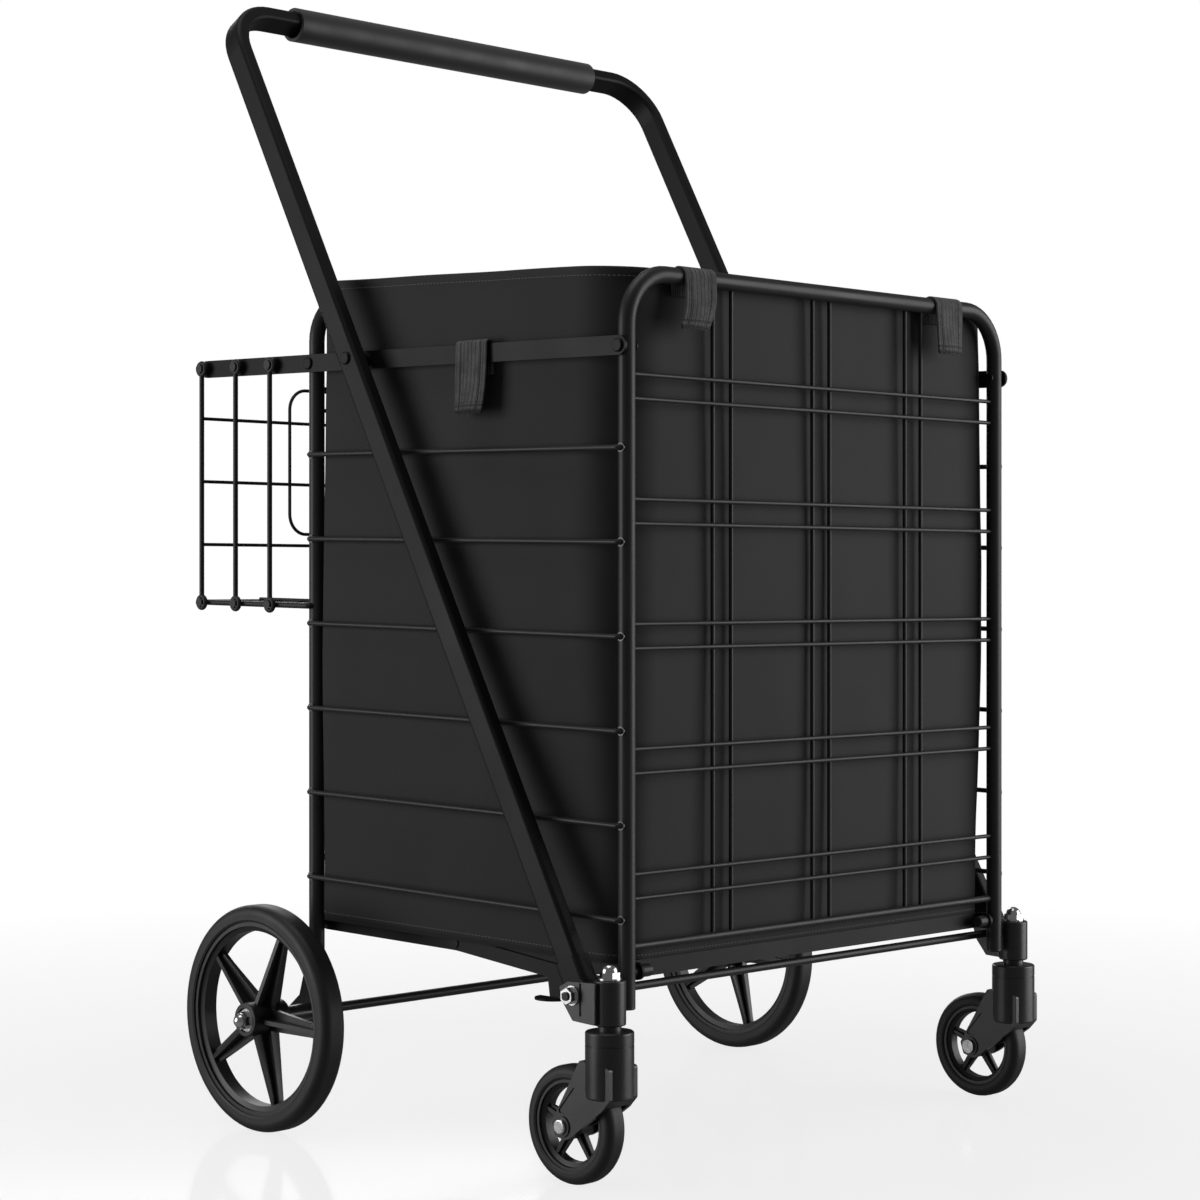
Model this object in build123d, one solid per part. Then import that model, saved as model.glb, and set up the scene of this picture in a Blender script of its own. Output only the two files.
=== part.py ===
from build123d import *
import math
import os

os.makedirs("parts", exist_ok=True)

# All sizes in mm. +Z is up, the front of the cart faces -Y and the floor is Z = 0.
# The origin is on the floor, under the middle of the whole cart.

# Basket frames
half_width = 280.0  # middle of the cart to the axis of each leg
depth = 442.0  # front leg axis to rear leg axis
drop = 8.0  # the front frame hangs this much lower than the rear frame
tube_r = 8.0
tube_wall = 1.2
corner_r = 50.0
front_top = 836.0
rear_rise = 12.0  # the rear top tube is this much higher than the front one
front_leg_bottom = 163.0
rear_leg_bottom = 128.0

# Wire grid of both frames
wire_r = 2.1
heavy_wire_r = 3.5
pair_pitch = 114.7
pair_gap = 22.4
top_wire_down = 94.0  # below the top tube
pairs_high = 5
heavy_wire_z = 217.0
column_pitch = 146.0
column_gap = 26.0
wire_sink = 0.3  # crossing wires are welded this deep into each other

# Side links, which keep the front frame upright as the cart folds
link_r = 2.5
link_count = 6
link_top_down = 162.0  # below the front top tube, at the front leg
link_pitch = 86.3
link_bend_r = 3.0
link_gap = 1.0
link_tip = 4.0  # how far a bent end reaches into the bore of the leg
running_clearance = 0.05
open_clearance = 0.3
rim_r = 4.4
rim_height = 1.6

# Flat bars along the top of both sides
bar_thick = 3.0
bar_height = 18.0
bar_gap = 0.6
bar_down = 68.8  # below the front top tube, at the front leg
rivet_r = 3.0
rivet_head_r = 6.5
rivet_head = 2.4
inner_head_r = 5.0

# Handle
handle_out = 24.0  # leg's side to the middle of the tube
handle_tube_wide = 16.0
handle_tube_deep = 27.0
handle_wall = 1.5
handle_edge_r = 4.5
handle_corner_r = 52.0
handle_pivot_ahead = 93.0  # ahead of the rear leg axis
handle_foot_back = 23.2  # behind the front leg axis
handle_top_z = 1148.0
grip_r = 18.0
grip_end_gap = 39.0  # bare tube from the grip to the bend

# Tie rod through both feet of the handle
tie_r = 4.0
tie_z = 176.0

# Caster bracket
swivel_out = 19.5  # leg's side to the swivel axis
swivel_lead = 5.0  # ahead of the front leg axis
bracket_post_r = 15.0
bracket_post_low = 150.0
bracket_post_high = 191.0
bracket_wall = 4.5
bracket_gap = 0.3

# Casters
caster_r = 54.8
caster_tread = 24.0
caster_trail = 43.0
head_r = 22.4
head_low = 84.0
head_high = 145.0
fork_wall = 5.0
fork_gap = 1.5
caster_axle_r = 4.0
caster_hub_r = 13.0

# Rear wheels
wheel_r = 113.5
wheel_tread = 29.0
wheel_out = 67.0  # leg's side to the middle of the tread
wheel_ahead = 7.0  # axle ahead of the rear leg axis
rim_seat_r = 97.0
rim_open_r = 87.5
hub_r = 17.0
hub_in = 22.0
hub_out = 24.0
axle_r = 5.0
spoke_count = 5
spoke_turn = 21.0

# Platform under the load
platform_gap = 6.5  # leg's side to the middle of each side bar
platform_bar = 16.0
platform_z = 194.0  # at the front pivots
platform_inset = 12.0
platform_pin_r = 4.0
platform_wire_r = 2.5
platform_long_wires = 5
platform_cross_wires = 3

# Latch with its foot tab
latch_pivot_ahead = 199.0  # ahead of the rear leg axis
latch_height = 14.0
latch_thick = 3.0
latch_gap = 0.6
latch_plate_front = 90.0
latch_plate_back = 110.0
latch_tab_z = 159.5
latch_tab_reach = 22.0
latch_hook_long = 26.0  # the hook is a piece of its own, welded to the end of the bar
notch_gap = 1.0
notch_flare = 33.0  # degrees, on the side of the pivot

# Small rear basket
drop_offsets = (55.0, 112.0, 170.0)  # behind the rear pivots
drop_r = 2.6
eye_gap = 0.3
drop_pin_r = 3.0
basket_rod_r = 3.0
basket_deep = 240.2  # flat bars to the bottom rod
basket_wire_r = 1.8
basket_first_wire = 26.0  # clear of the rear frame when the basket hangs folded
basket_wire_pitch = 38.0
basket_cross_wires = 4
basket_long_wires = 7
loop_in = 100.0  # leg axis to the side of the loop
loop_down = 5.2
loop_tall = 158.0

# Liner bag and its straps
liner_side_in = 4.0  # leg axis to the side of the liner, which passes behind the legs
liner_end_gap = 3.0
liner_wall = 1.6
liner_taper = 13.0  # the floor lies between the side bars of the platform
liner_seat = 0.3
liner_front_up = 7.0  # rim above the axis of the top tubes
liner_rear_up = 13.0
strap_wide = 42.0
strap_thick = 1.8
strap_in = 90.0  # leg axis to the middle of the strap
side_strap_back = 192.0
strap_hang = 48.0

# Heights that follow the top tubes
rear_top = front_top + rear_rise
top_wire_z = front_top - top_wire_down
link_top_z = front_top - link_top_down
bar_front_z = front_top - bar_down
basket_rod_z = bar_front_z - basket_deep
loop_high = bar_front_z - loop_down
loop_low = loop_high - loop_tall
liner_front_top = front_top + liner_front_up
liner_rear_top = rear_top + liner_rear_up

# Stations along X, from the middle of the cart
leg_side = half_width + tube_r
handle_tube_x = leg_side + handle_out
swivel_x = leg_side + swivel_out
wheel_x = leg_side + wheel_out
platform_half = half_width - tube_r - platform_gap
loop_half = half_width - loop_in
strap_x = half_width - strap_in
grip_half_length = handle_tube_x - handle_corner_r - grip_end_gap

# Stations along Y, from the front legs at y_front
rear_reach = depth + drop_offsets[-1] + drop_pin_r + eye_gap + 2 * drop_r
front_reach = swivel_lead + head_r
y_front = (front_reach - rear_reach) / 2
y_rear = y_front + depth
handle_pivot_back = depth - handle_pivot_ahead
latch_pivot_back = depth - latch_pivot_ahead
y_swivel = y_front - swivel_lead
y_axle = y_rear - wheel_ahead
y_caster = y_swivel + caster_trail

link_x = leg_side + link_gap + link_r
bar_x = leg_side + bar_gap + bar_thick / 2
nodes = {}


def rod(a, b, r):
    """A round rod from point a to point b."""
    span = Vector(*b) - Vector(*a)
    return Solid.make_cylinder(r, span.length, Plane(origin=a, z_dir=span.normalized()))


def cross(x0, x1, y, z, r):
    """A round rod along X."""
    return rod((min(x0, x1), y, z), (max(x0, x1), y, z), r)


def bent_rod(points, bend_r, r):
    """A round rod with a bend of one radius at each inner point."""
    path = FilletPolyline(*points, radius=bend_r)
    return sweep(Plane(origin=path @ 0, z_dir=path % 0) * Circle(r), path=path)


def plate_x(outline, x, thick):
    """A flat plate with its middle at x, from a sketch whose axes are Y and Z."""
    plane = Plane(origin=(x, 0, 0), x_dir=(0, 1, 0), z_dir=(1, 0, 0))
    return extrude(plane * outline, amount=thick / 2, both=True)


def bar_outline(a, b, r):
    """The outline of a flat bar with round ends, between two points in the YZ plane."""
    middle = Vector(*a, 0)
    span = Vector(*b, 0) - middle
    turn = math.degrees(math.atan2(span.Y, span.X))
    slot = SlotCenterToCenter(span.length, 2 * r)
    return Pos(*((a[0] + b[0]) / 2, (a[1] + b[1]) / 2)) * Rot(0, 0, turn) * slot


def join(shapes):
    whole = shapes[0]
    for shape in shapes[1:]:
        whole = whole + shape
    return whole


def mirrored(shape):
    return mirror(shape, about=Plane.YZ)


def both_sides(name, shape):
    """The same piece on the -X side, called left, and on the +X side, called right."""
    nodes[name + "_left"] = shape
    nodes[name + "_right"] = mirrored(shape)


def pair(shape):
    """The same piece on both sides, in one node."""
    return Compound([*shape.solids(), *mirrored(shape).solids()])


def rear_z(z):
    """The height on the rear frame that matches a height on the front frame."""
    return z + drop


# Frame tubes
link_heights = [link_top_z - i * link_pitch for i in range(link_count)]
bar_rear_z = rear_z(bar_front_z)


def frame_tube(y, top, bottom, lift, link_clearance):
    points = [
        (-half_width, y, bottom),
        (-half_width, y, top),
        (half_width, y, top),
        (half_width, y, bottom),
    ]
    path = FilletPolyline(*points, radius=corner_r)
    section = Circle(tube_r) - Circle(tube_r - tube_wall)
    tube = sweep(Plane(origin=path @ 0, z_dir=path % 0) * section, path=path)
    holes = []
    for side in (-1, 1):
        outside = side * (half_width + tube_r + 1)
        inside = side * (half_width - tube_r - 1)
        for z in link_heights:
            holes.append(cross(side * half_width, outside, y, z + lift, link_r + link_clearance))
        rivet_hole = rivet_r + running_clearance
        holes.append(cross(inside, outside, y, bar_front_z + lift, rivet_hole))
        pin_hole = platform_pin_r + open_clearance
        holes.append(cross(side * half_width, inside, y, platform_z + lift, pin_hole))
    return tube - holes


nodes["rear_frame_tube"] = frame_tube(y_rear, rear_top, rear_leg_bottom, drop, running_clearance)
nodes["front_frame_tube"] = frame_tube(y_front, front_top, front_leg_bottom, 0, open_clearance)


def leg_cap(y, bottom):
    cap = rod((-half_width, y, bottom - 2.5), (-half_width, y, bottom), tube_r)
    plug = rod((-half_width, y, bottom), (-half_width, y, bottom + 8), tube_r - tube_wall)
    return pair(fillet(cap.edges().group_by(Axis.Z)[0], 1.2) + plug)


nodes["front_leg_caps"] = leg_cap(y_front, front_leg_bottom)


# Wire grids, welded to the tubes
pair_tops = [top_wire_z - i * pair_pitch for i in range(pairs_high)]
wire_heights = [z - gap for z in pair_tops for gap in (0, pair_gap)]


def grid(y, top, lift, side, base):
    """Horizontal wires at y down to a heavy one at the base, and upright wires to one side."""
    y_up = y + side * (2 * wire_r - wire_sink)
    wires = []
    for z in wire_heights:
        if z + lift > base + wire_r:
            wires.append(cross(-half_width, half_width, y, z + lift, wire_r))
    y_heavy = y + side * (heavy_wire_r - wire_r)
    wires.append(cross(-half_width, half_width, y_heavy, base, heavy_wire_r))
    for column in (-1, 0, 1):
        for half in (-1, 1):
            x = column * column_pitch + half * column_gap / 2
            wires.append(rod((x, y_up, base), (x, y_up, top), wire_r))
    return join(wires)


def trimmed(wires, y, top):
    """The wires cut off where they meet the frame tube."""
    tubes = [rod((s * half_width, y, 0), (s * half_width, y, top), tube_r) for s in (-1, 1)]
    tubes.append(cross(-half_width, half_width, y, top, tube_r))
    kept = wires - tubes
    return Compound([s for s in kept.solids() if abs(s.center().X) < half_width - tube_r])


front_grid = grid(y_front, front_top, 0, 1, heavy_wire_z)
rear_grid = grid(y_rear, rear_top, drop, -1, rear_z(wire_heights[-1]))
nodes["front_grid"] = trimmed(front_grid, y_front, front_top)
nodes["rear_grid"] = trimmed(rear_grid, y_rear, rear_top)

# Side links, one on each side at each height, and the rims of their holes
for i, z in enumerate(link_heights):
    tip_x = -(half_width + tube_r - tube_wall - link_tip)
    points = [
        (tip_x, y_front, z),
        (-link_x, y_front, z),
        (-link_x, y_rear, rear_z(z)),
        (tip_x, y_rear, rear_z(z)),
    ]
    nodes[f"side_links_{i + 1}"] = pair(bent_rod(points, link_bend_r, link_r))


def hole_rims(y, lift, clearance):
    low = -(half_width + tube_r - 1.4)
    rims = []
    for z in link_heights:
        rim = cross(low, low - rim_height - 0.2, y, z + lift, rim_r)
        rims.append(rim - cross(low + 1, low - 3, y, z + lift, link_r + clearance))
    leg = rod((-half_width, y, 0), (-half_width, y, front_top), tube_r)
    return pair(Compound([s for rim in rims for s in (rim - leg).solids()]))


nodes["front_hole_rims"] = hole_rims(y_front, 0, open_clearance)
nodes["rear_hole_rims"] = hole_rims(y_rear, drop, open_clearance)

# Top flat bars, with the rivets that they turn on
bar_slope = drop / depth


def bar_z(back):
    """Height of the flat bar's middle line, this far behind the front legs."""
    return bar_front_z + back * bar_slope


drop_backs = [depth + offset for offset in drop_offsets]
bar_end = drop_backs[-1]
bar = plate_x(
    bar_outline((y_front, bar_z(0)), (y_front + bar_end, bar_z(bar_end)), bar_height / 2),
    -bar_x,
    bar_thick,
)
bar_outer = bar_x + bar_thick / 2
handle_inner = handle_tube_x - handle_tube_wide / 2
handle_outer = handle_tube_x + handle_tube_wide / 2
pivot_z = bar_z(handle_pivot_back)
y_pivot = y_front + handle_pivot_back
bar -= [cross(-bar_outer - 1, -bar_outer + 4, y, z, rivet_r) for y, z in (
    (y_front, bar_z(0)),
    (y_rear, bar_z(depth)),
    (y_pivot, pivot_z),
    *((y_front + back, bar_z(back)) for back in drop_backs),
)]
both_sides("top_bar", bar)

eye_plane_x = link_x + basket_rod_r + 0.6 + drop_r
pin_end = eye_plane_x + drop_r + 0.6


def dome(x, y, z, r, height):
    """A shallow round head, its flat side at x and its dome towards -X."""
    head = cross(x, x - height, y, z, r)
    return fillet(head.edges().group_by(Axis.X)[0], height * 0.7)


def rivet(y, z):
    inner = half_width - tube_r - 0.3
    shank = cross(-bar_outer, -inner, y, z, rivet_r)
    heads = dome(-bar_outer, y, z, rivet_head_r, rivet_head)
    return join([shank, heads, cross(-inner, -inner + 1.6, y, z, inner_head_r)])


nodes["top_bar_rivets"] = Compound([
    *pair(rivet(y_front, bar_z(0))).solids(),
    *pair(rivet(y_rear, bar_z(depth))).solids(),
])

drop_pins = []
for back in drop_backs:
    y, z = y_front + back, bar_z(back)
    pin = cross(-bar_outer + bar_thick, -pin_end, y, z, drop_pin_r)
    drop_pins.append(pin + cross(-pin_end, -pin_end - 1.2, y, z, drop_pin_r + 1.8))
nodes["basket_hanger_pins"] = pair(Compound([s for p in drop_pins for s in p.solids()]))

# Handle: a flat oval tube bent to a U, leaning back
lean = math.atan2(handle_pivot_back - handle_foot_back, pivot_z - tie_z)
y_foot = y_front + handle_foot_back


def handle_y(z):
    return y_foot + (z - tie_z) * math.tan(lean)


foot_z = tie_z + 5
handle_points = [
    (-handle_tube_x, handle_y(foot_z), foot_z),
    (-handle_tube_x, handle_y(handle_top_z), handle_top_z),
    (handle_tube_x, handle_y(handle_top_z), handle_top_z),
    (handle_tube_x, handle_y(foot_z), foot_z),
]
handle_path = FilletPolyline(*handle_points, radius=handle_corner_r)
along = (0, math.sin(lean), math.cos(lean))
section_plane = Plane(origin=handle_points[0], x_dir=(1, 0, 0), z_dir=along)


def handle_section(shrink):
    wide = handle_tube_wide - 2 * shrink
    deep = handle_tube_deep - 2 * shrink
    return RectangleRounded(wide, deep, handle_edge_r - shrink)


hollow = handle_section(0) - handle_section(handle_wall)
tube = sweep(section_plane * hollow, path=handle_path)
tube -= cross(-400, 400, y_pivot, pivot_z, rivet_r + running_clearance)
nodes["handle_tube"] = tube

crossbar_plane = Plane(
    origin=(0, handle_y(handle_top_z), handle_top_z), x_dir=(0, *along[1:]), z_dir=(1, 0, 0)
)
grip = crossbar_plane * (Circle(grip_r) - handle_section(0))
grip = extrude(grip, amount=grip_half_length, both=True)
round_ends = [e for e in grip.edges().filter_by(GeomType.CIRCLE) if e.radius > grip_r - 1]
nodes["handle_grip"] = fillet(round_ends, 2.5)


# Pivots of the handle on the flat bars
def handle_rivet():
    """A spacer between flat bar and tube, and a pin through both with a head at each end."""
    y, z = y_pivot, pivot_z
    spacer = cross(-bar_outer, -(handle_inner - 0.3), y, z, 7)
    pin = cross(-bar_outer + bar_thick, -handle_outer - 0.3, y, z, rivet_r)
    head = dome(-handle_outer - 0.3, y, z, rivet_head_r, rivet_head)
    return join([spacer, pin, head])


nodes["handle_rivets"] = pair(handle_rivet())

# Feet of the handle: a plastic end fitting on each tube, and the tie rod with its nuts
foot_wall = 2.4
foot_length = 34.0
foot_plane = Plane(origin=(-handle_tube_x, y_foot, tie_z), x_dir=(1, 0, 0), z_dir=along)
foot = extrude(
    foot_plane * RectangleRounded(
        handle_tube_wide + 2 * foot_wall, handle_tube_deep + 2 * foot_wall, handle_edge_r + foot_wall
    ),
    amount=foot_length,
)
foot_x0 = handle_tube_x - handle_tube_wide / 2 - foot_wall
foot_x1 = handle_tube_x + handle_tube_wide / 2 + foot_wall
foot_r = handle_tube_deep / 2 + foot_wall
foot += cross(-foot_x0, -foot_x1, y_foot, tie_z, foot_r)
foot -= extrude(foot_plane.offset(5 / math.cos(lean)) * handle_section(0), amount=foot_length + 9)
foot -= cross(-foot_x0 + 1, -foot_x1 - 1, y_foot, tie_z, tie_r)
nodes["handle_feet"] = pair(foot)

bracket_in = foot_x0 - bracket_gap - bracket_wall
bracket_out = foot_x1 + bracket_gap + bracket_wall
nut_height = 7.0
tie_end = bracket_out + nut_height + 3
nodes["tie_rod"] = cross(-tie_end, tie_end, y_foot, tie_z, tie_r)
nut = Pos(-bracket_out - 1.4, y_foot, tie_z) * Rot(0, -90, 0) * extrude(
    RegularPolygon(7.6, 6), amount=nut_height
)
nut = nut + cross(-bracket_out, -bracket_out - 1.4, y_foot, tie_z, 9)
nodes["tie_rod_nuts"] = pair(nut - cross(-bracket_out + 1, -tie_end - 1, y_foot, tie_z, tie_r))

# Caster brackets: an upright post beside each front leg, with two cheeks around the foot
post = rod(
    (-swivel_x, y_swivel, bracket_post_low), (-swivel_x, y_swivel, bracket_post_high), bracket_post_r
)
post = fillet(post.edges().filter_by(GeomType.CIRCLE), 1.5)
cheek_back = y_foot + foot_r
cheek_outline = make_face(Polyline(
    (y_swivel, bracket_post_low + 1.5),
    (y_swivel + 28, bracket_post_low + 3),
    (cheek_back - 4, tie_z - 8),
    (cheek_back + 1, tie_z + 6),
    (cheek_back - 10, bracket_post_high - 3),
    (y_swivel, bracket_post_high - 1.5),
    close=True,
))
bracket_middle = (bracket_in + bracket_out) / 2
cheeks = plate_x(fillet(cheek_outline.vertices(), 1.2), -bracket_middle, bracket_out - bracket_in)
pocket_r = foot_r + bracket_gap
pocket = cross(-foot_x0 + bracket_gap, -foot_x1 - bracket_gap, y_foot, tie_z, pocket_r)
slot_plane = Plane(origin=(-handle_tube_x, y_foot, tie_z), x_dir=(1, 0, 0), z_dir=along)
slot_wide = foot_x1 - foot_x0 + 2 * bracket_gap
slot = extrude(slot_plane * Rectangle(slot_wide, 2 * pocket_r), amount=60)
bracket = post + cheeks
boss = cross(-bracket_out, -bracket_out + 2, y_foot, tie_z, 12)
bracket = bracket + boss - pocket - slot
stem_r = 5.0
stem_hole = stem_r + running_clearance
bracket -= rod((-swivel_x, y_swivel, 100), (-swivel_x, y_swivel, 250), stem_hole)
bracket -= cross(-bracket_in + 2, -bracket_out - 2, y_foot, tie_z, tie_r)
groove = Box(2.4, 3.5, 30)
bracket -= Pos(-bracket_out, y_swivel + bracket_post_r + 2.5, tie_z - 3) * groove
both_sides("caster_bracket", bracket)


# Casters
def caster(x):
    y, ya, za = y_swivel, y_caster, caster_r
    half_slot = caster_tread / 2 + fork_gap
    half_fork = half_slot + fork_wall
    head = rod((x, y, head_low), (x, y, head_high), head_r)
    cap_line = rod((x, y, head_high - 13), (x, y, head_high - 11.6), head_r + 1)
    cap_line -= rod((x, y, head_high - 14), (x, y, head_high - 11), head_r - 0.8)
    head = fillet(head.edges().filter_by(GeomType.CIRCLE), 2) - cap_line
    arm = make_face(Polyline(
        (y - head_r + 5, head_low + 1),
        (y - head_r + 5, head_low + 30),
        (y + head_r - 2, head_low + 34),
        (y + head_r + 13, head_low + 8),
        (ya + 13, za + 3),
        (ya + 9, za - 9),
        (ya - 3, za - 12.5),
        (ya - 12, za - 8),
        (y - 8, head_low - 9),
        close=True,
    ))
    arms = plate_x(fillet(arm.vertices(), 3), x, 2 * half_fork)
    recess = make_face(Polyline(
        (y - 2, head_low + 4),
        (y + head_r + 6, head_low + 8),
        (ya + 7, za + 12),
        (ya - 8, za + 12),
        close=True,
    ))
    recess = fillet(recess.vertices(), 2.5)
    recesses = [plate_x(recess, x + s * half_fork, 2.4) for s in (-1, 1)]
    boss = cross(x - half_fork - 1.5, x + half_fork + 1.5, ya, za, 10)
    wheel_space = cross(x - half_slot, x + half_slot, ya, za, caster_r + 3)
    neck = rod((x, y, head_high), (x, y, bracket_post_low - 0.4), 10.8)
    fork = head + arms - recesses + boss + neck - wheel_space
    fork -= cross(x - 40, x + 40, ya, za, caster_axle_r)
    fork -= rod((x, y, 110), (x, y, 200), stem_r)
    return fork, half_fork + 1.5


fork, fork_outer = caster(-swivel_x)
both_sides("caster_fork", fork)

# Stem bolt of each caster, with its washer and domed nut above the bracket
nut_base = bracket_post_high + 0.4
stem = rod((-swivel_x, y_swivel, head_high - 30), (-swivel_x, y_swivel, nut_base + 5), stem_r)
washer = rod((-swivel_x, y_swivel, nut_base), (-swivel_x, y_swivel, nut_base + 1.6), 11)
hexagon = Pos(-swivel_x, y_swivel, nut_base + 1.6) * extrude(RegularPolygon(9.6, 6), amount=5)
crown = Pos(-swivel_x, y_swivel, nut_base + 6.6) * (Sphere(7.6) & Pos(0, 0, 10) * Box(20, 20, 20))
both_sides("caster_stem", join([stem, washer, hexagon, crown]))

caster_axle = cross(-swivel_x - fork_outer, -swivel_x + fork_outer, y_caster, caster_r, caster_axle_r)
axle_head = cross(-swivel_x - fork_outer, -swivel_x - fork_outer - 3, y_caster, caster_r, 7)
axle_nut = cross(-swivel_x + fork_outer, -swivel_x + fork_outer + 3, y_caster, caster_r, 7)
axle_head = fillet(axle_head.edges().group_by(Axis.X)[0], 1.5)
both_sides("caster_axle", join([caster_axle, axle_head, axle_nut]))


def ring_profile(points, x, y, z, roundness):
    """A ring turned about an axis along X; each point is (along X, radius)."""
    face = make_face(Polyline(*[(x + a, y, z + b) for a, b in points], close=True))
    if roundness:
        outer = [v for v in face.vertices() if v.Z - z > max(b for _, b in points) - 0.1]
        face = fillet(outer, roundness)
    return revolve(face, Axis((x, y, z), (1, 0, 0)))


def tyre(x, y, r, tread, seat_r, roundness):
    half = tread / 2
    points = [(-half + 1, seat_r), (-half, seat_r + 2), (-half, r), (half, r)]
    points += [(half, seat_r + 2), (half - 1, seat_r)]
    return ring_profile(points, x, y, r, roundness)


def wheel_rim(x, y, r, tread, seat_r, open_r, hub_outer, inner, outer, bore_r, spoke, first):
    """Rim, spokes and hub in one piece, with the hub's outer end towards -X."""
    half = tread / 2
    step = (seat_r - open_r) * 0.45
    points = [(-half + 1, seat_r), (-half + 1, seat_r - step), (-half + 4, seat_r - step)]
    points += [(-half + 6, open_r), (half - 6, open_r), (half - 4, seat_r - step)]
    points += [(half - 1, seat_r - step), (half - 1, seat_r)]
    rim = ring_profile(points, x, y, r, 0)
    hub = cross(x - outer, x + inner, y, r, hub_outer)
    hub = fillet(hub.edges().filter_by(GeomType.CIRCLE), 1.5)
    cup = cross(x - outer - 1, x - outer + 4, y, r, hub_outer * 0.72)
    wide_in, wide_out, thick = spoke
    web = make_face(Polyline(
        (-wide_in / 2, 0), (wide_in / 2, 0), (wide_out / 2, open_r + 1), (-wide_out / 2, open_r + 1),
        close=True,
    ))
    rib = make_face(Polyline(
        (-outer + 7, 0), (inner - 5, 0), (half - 7, open_r + 1), (-half + 6.5, open_r + 1), close=True
    ))
    spokes = []
    for i in range(spoke_count):
        turn = first + i * 360 / spoke_count
        seat = Plane(origin=(x, y, r), x_dir=(0, 1, 0), z_dir=(1, 0, 0))
        flat = extrude(seat * web, amount=thick / 2, both=True)
        upright = extrude(Plane(origin=(x, y, r), x_dir=(1, 0, 0), z_dir=(0, -1, 0)) * rib,
                          amount=thick / 2, both=True)
        spokes.append((flat + upright).rotate(Axis((x, y, r), (1, 0, 0)), turn))
    whole = join([rim, hub, *spokes]) - cup
    return whole - cross(x - outer - 9, x + inner + 9, y, r, bore_r)


rim = wheel_rim(
    -wheel_x, y_axle, wheel_r, wheel_tread - 3, rim_seat_r, rim_open_r, hub_r, hub_in, hub_out,
    axle_r + running_clearance, (24, 13, 4.5), spoke_turn,
)
both_sides("rear_wheel_rim", rim)
both_sides("rear_tyre", tyre(-wheel_x, y_axle, wheel_r, wheel_tread, rim_seat_r, 9))

caster_seat_r = caster_r - 13
caster_rim = wheel_rim(
    -swivel_x, y_caster, caster_r, caster_tread - 2, caster_seat_r, caster_seat_r - 7, caster_hub_r,
    caster_tread / 2 + 1, caster_tread / 2 + 1, caster_axle_r + running_clearance, (12, 8, 3.5), 0,
)
both_sides("caster_rim", caster_rim)
both_sides("caster_tyre", tyre(-swivel_x, y_caster, caster_r, caster_tread, caster_seat_r, 8))

# Rear axle, the plates that carry it, its spacers and its nuts
plate_top = rear_leg_bottom + 22
axle_plate = make_face(Polyline(
    (y_rear - tube_r, plate_top),
    (y_rear + tube_r, plate_top),
    (y_rear + 15, wheel_r + 14),
    (y_rear + 40, wheel_r - 6),
    (y_rear + 40, wheel_r - 12),
    (y_axle - 16, wheel_r - 12),
    (y_axle - 16, wheel_r + 8),
    close=True,
))
axle_plate_x = half_width + tube_r + bar_thick / 2
axle_plate = plate_x(fillet(axle_plate.vertices(), 2), -axle_plate_x, bar_thick)
axle_plate -= cross(-axle_plate_x + 9, -axle_plate_x - 9, y_axle, wheel_r, axle_r)
both_sides("axle_plate", axle_plate)
axle_end = wheel_x + hub_out + 7
nodes["rear_axle"] = cross(-axle_end, axle_end, y_axle, wheel_r, axle_r)
spacer_in = axle_plate_x + bar_thick / 2
spacer_out = wheel_x - hub_in - 0.4
spacer = cross(-spacer_in, -spacer_out, y_axle, wheel_r, axle_r + 3.5)
nodes["axle_spacers"] = pair(spacer - cross(-spacer_in + 1, -spacer_out - 1, y_axle, wheel_r, axle_r))
nut_in = wheel_x + hub_out - 3.6
axle_nut = cross(-nut_in, -nut_in - 1.6, y_axle, wheel_r, hub_r * 0.72 - 0.8)
axle_nut += Pos(-nut_in - 1.6, y_axle, wheel_r) * Rot(0, -90, 0) * extrude(
    RegularPolygon(8.6, 6), amount=7
)
nut_crown = Sphere(7.2) & Pos(-10, 0, 0) * Box(20, 20, 20)
axle_nut += Pos(-nut_in - 8.6, y_axle, wheel_r) * nut_crown
nodes["axle_nuts"] = pair(axle_nut - cross(-nut_in + 1, -axle_end, y_axle, wheel_r, axle_r))
nodes["rear_leg_caps"] = leg_cap(y_rear, rear_leg_bottom)


# Platform
def platform_point(back, up=0.0):
    """A point of the platform's plane, this far behind the front pivots."""
    return y_front + back, platform_z + back * bar_slope + up


side_bar = plate_x(
    bar_outline(platform_point(0), platform_point(depth), platform_bar / 2), -platform_half, bar_thick
)
inner_face = platform_half - bar_thick / 2
cross_bars = []
for back in (platform_inset, depth - platform_inset):
    y, z = platform_point(back)
    cross_bars.append(Pos(0, y, z) * Box(2 * inner_face, bar_thick, platform_bar))
frame_bars = join([side_bar, mirrored(side_bar), *cross_bars])
nodes["platform_frame"] = frame_bars

wires = []
back_a, back_b = platform_inset + bar_thick / 2, depth - platform_inset - bar_thick / 2
for i in range(platform_long_wires):
    x = inner_face * (2 * (i + 1) / (platform_long_wires + 1) - 1)
    wires.append(rod((x, *platform_point(back_a)), (x, *platform_point(back_b)), platform_wire_r))
for i in range(platform_cross_wires):
    y, z = platform_point(depth * (i + 1) / (platform_cross_wires + 1), 2 * platform_wire_r - wire_sink)
    wires.append(cross(-inner_face, inner_face, y, z, platform_wire_r))
nodes["platform_wires"] = join(wires) - frame_bars

pins = []
for back in (0, depth):
    y, z = platform_point(back)
    outer_face = platform_half + bar_thick / 2
    pin = cross(-outer_face, -half_width + 2, y, z, platform_pin_r)
    collar = cross(-inner_face, -inner_face + 14, y, z, platform_pin_r + 2)
    pins += [pin, fillet(collar.edges().group_by(Axis.X)[-1], 1.5)]
nodes["platform_pins"] = pair(Compound([s for p in pins for s in p.solids()]))

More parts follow.
